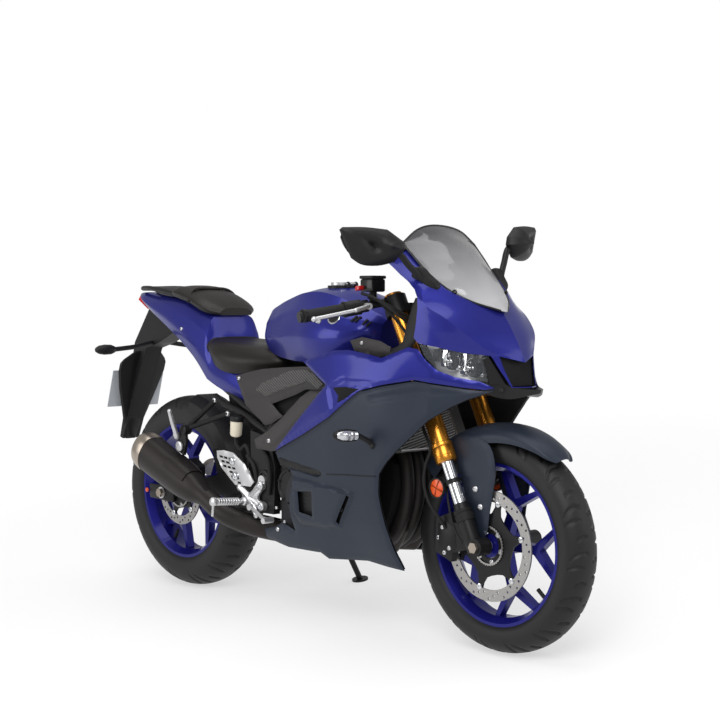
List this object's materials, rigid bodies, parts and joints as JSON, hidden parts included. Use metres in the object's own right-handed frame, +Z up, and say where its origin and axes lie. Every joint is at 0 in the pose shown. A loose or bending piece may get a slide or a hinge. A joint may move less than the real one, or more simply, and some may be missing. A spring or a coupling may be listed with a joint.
{
  "type": "sport bike",
  "caption": "Faired sport bike on its side stand, with clip-on bars, split seat, twin headlamps, chain drive, turning wheels and steering.",
  "frame": {"origin": "middle of the bounding box, at the ground", "axes": "+X forward along the bike, +Y to the rider's left, +Z up; the bike leans to its left on the side stand"},
  "size_m": [2.069, 0.8164, 1.1827],
  "materials": {
    "black_metal": "satin",
    "black_plastic": "matt",
    "blue_paint": "metallic gloss",
    "bright_metal": "satin",
    "cap_metal": "satin",
    "chain_steel": "oiled",
    "clear_lens": "clear",
    "cream_plastic": "translucent",
    "dark_panel": "matt",
    "disc_steel": "brushed",
    "engine_metal": "painted",
    "gold_anodised": "satin anodised",
    "hard_chrome": "polished",
    "muffler_coat": "matt",
    "pipe_steel": "satin",
    "plate_blank": "satin",
    "radiator_metal": "matt",
    "red_lens": "gloss",
    "reflector": "gloss",
    "rubber": "matt",
    "seat_cover": "grained",
    "smoke_screen": "tinted",
    "tyre": "matt",
    "wheel_paint": "gloss"
  },
  "bodies": {
    "chassis": {"main_frame": "black_metal", "cowl_stay": "black_metal", "chassis_axles": "bright_metal", "swingarm": "black_metal", "drive_chain": "chain_steel", "shock_absorber": "black_metal", "rear_caliper": "black_metal", "rear_guards": "black_plastic", "engine_block": "engine_metal", "radiator": "radiator_metal", "exhaust_pipes": "pipe_steel", "muffler": "muffler_coat", "muffler_cap": "cap_metal", "fuel_tank": "blue_paint", "filler_ring": "black_metal", "tail_cowl": "blue_paint", "rider_seat": "seat_cover", "pillion_seat": "seat_cover", "tail_lamp": "red_lens", "plate_arm": "black_plastic", "licence_plate": "plate_blank", "indicator_stalks": "black_plastic", "indicators": "clear_lens", "side_covers": "black_plastic", "windscreen": "smoke_screen", "headlamps": "clear_lens", "air_intake": "black_plastic", "nose_cowl": "blue_paint", "lower_fairings": "dark_panel", "mid_fairings": "blue_paint", "fairing_stays": "black_metal", "instrument_cluster": "black_plastic", "mirrors": "black_plastic", "footrest_plates": "bright_metal", "footrests": "bright_metal", "foot_pedals": "bright_metal", "passenger_hangers": "black_metal", "rear_reservoir": "cream_plastic"},
    "steering": {"fork_outer_tubes": "gold_anodised", "fork_inner_tubes": "hard_chrome", "fork_feet": "black_metal", "fork_clamps": "black_metal", "front_axle": "bright_metal", "clip_on_bars": "black_metal", "grips": "rubber", "switch_boxes": "black_plastic", "hand_levers": "bright_metal", "brake_master": "black_plastic", "front_fender": "dark_panel", "front_caliper": "black_metal", "reflectors": "reflector"},
    "front_wheel": {"front_tyre": "tyre", "front_rim": "wheel_paint", "front_disc": "disc_steel"},
    "rear_wheel": {"rear_tyre": "tyre", "rear_rim": "wheel_paint", "rear_disc": "disc_steel", "rear_sprocket": "disc_steel"},
    "side_stand": {"side_stand": "black_metal"},
    "fuel_lid": {"fuel_lid": "bright_metal"}
  },
  "joints": [
    {"name": "steering_turn", "type": "hinge", "parent": "chassis", "child": "steering", "pos_m": [0.46345, -0.02701, 0.78786], "axis": [-0.4226, 0.1652, 0.8911], "range_deg": [-31, 31]},
    {"name": "front_wheel_spin", "type": "hinge", "parent": "steering", "child": "front_wheel", "pos_m": [0.7415, -0.1194, 0.28935], "axis": [0, 0.9833, -0.1822], "continuous": true},
    {"name": "rear_wheel_spin", "type": "hinge", "parent": "chassis", "child": "rear_wheel", "pos_m": [-0.6385, -0.11558, 0.31], "axis": [0, 0.9833, -0.1822], "continuous": true},
    {"name": "stand_fold", "type": "hinge", "parent": "chassis", "child": "side_stand", "pos_m": [-0.1445, 0.02805, 0.25083], "axis": [0, 0.9681, 0.2504], "range_deg": [0, 92]},
    {"name": "fuel_lid_hinge", "type": "hinge", "parent": "chassis", "child": "fuel_lid", "pos_m": [0.1335, 0.00798, 0.97664], "axis": [0, 0.9833, -0.1822], "range_deg": [0, 100]}
  ]
}
